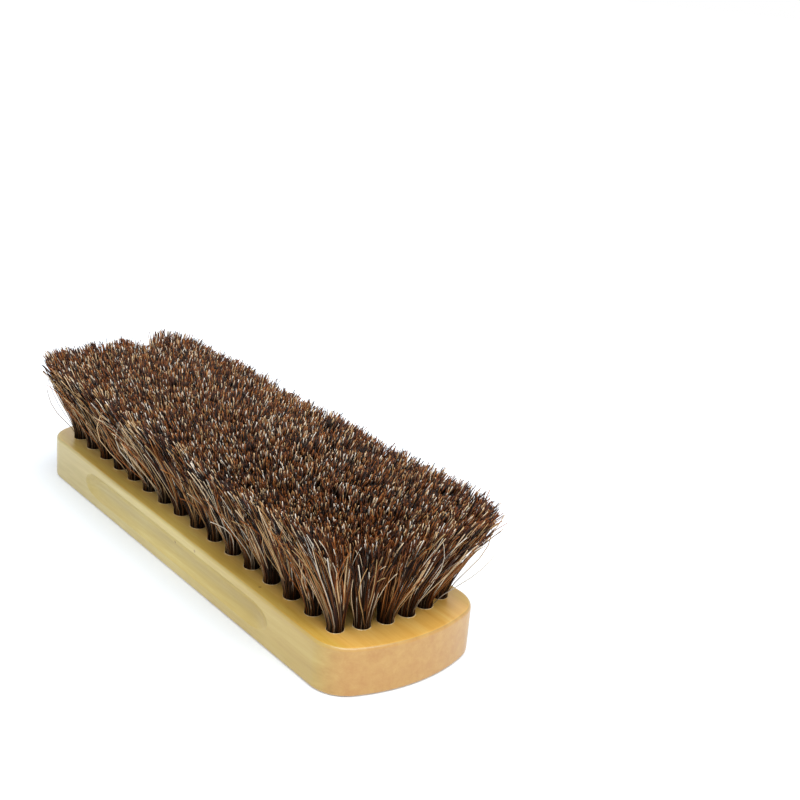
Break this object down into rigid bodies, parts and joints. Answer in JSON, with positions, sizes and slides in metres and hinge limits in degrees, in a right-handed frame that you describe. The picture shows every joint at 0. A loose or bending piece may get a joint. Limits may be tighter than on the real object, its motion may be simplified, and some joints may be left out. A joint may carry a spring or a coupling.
{
  "type": "shoe shine brush",
  "caption": "Shoe shine brush lying on its back: a rounded hardwood block with a finger groove in each long side and rows of dark horsehair tufts stapled into blind holes.",
  "frame": {"origin": "centre of the flat back that the brush lies on", "axes": "+X along the block, +Y across it, +Z from the back towards the bristles"},
  "size_m": [0.175, 0.0586, 0.0425],
  "materials": {
    "lacquered_wood": "pale beech under clear satin lacquer",
    "horsehair": "mixed brown horsehair with some pale hairs, trimmed flat",
    "steel_wire": "bright flat steel wire"
  },
  "bodies": {
    "root": {"block": "lacquered_wood", "tuft_row_01": "horsehair", "tuft_row_02": "horsehair", "tuft_row_03": "horsehair", "tuft_row_04": "horsehair", "tuft_row_05": "horsehair", "tuft_row_06": "horsehair", "tuft_row_07": "horsehair", "tuft_row_08": "horsehair", "tuft_row_09": "horsehair", "tuft_row_10": "horsehair", "tuft_row_11": "horsehair", "tuft_row_12": "horsehair", "tuft_row_13": "horsehair", "tuft_row_14": "horsehair", "tuft_row_15": "horsehair", "tuft_row_16": "horsehair", "staples": "steel_wire"}
  },
  "joints": []
}
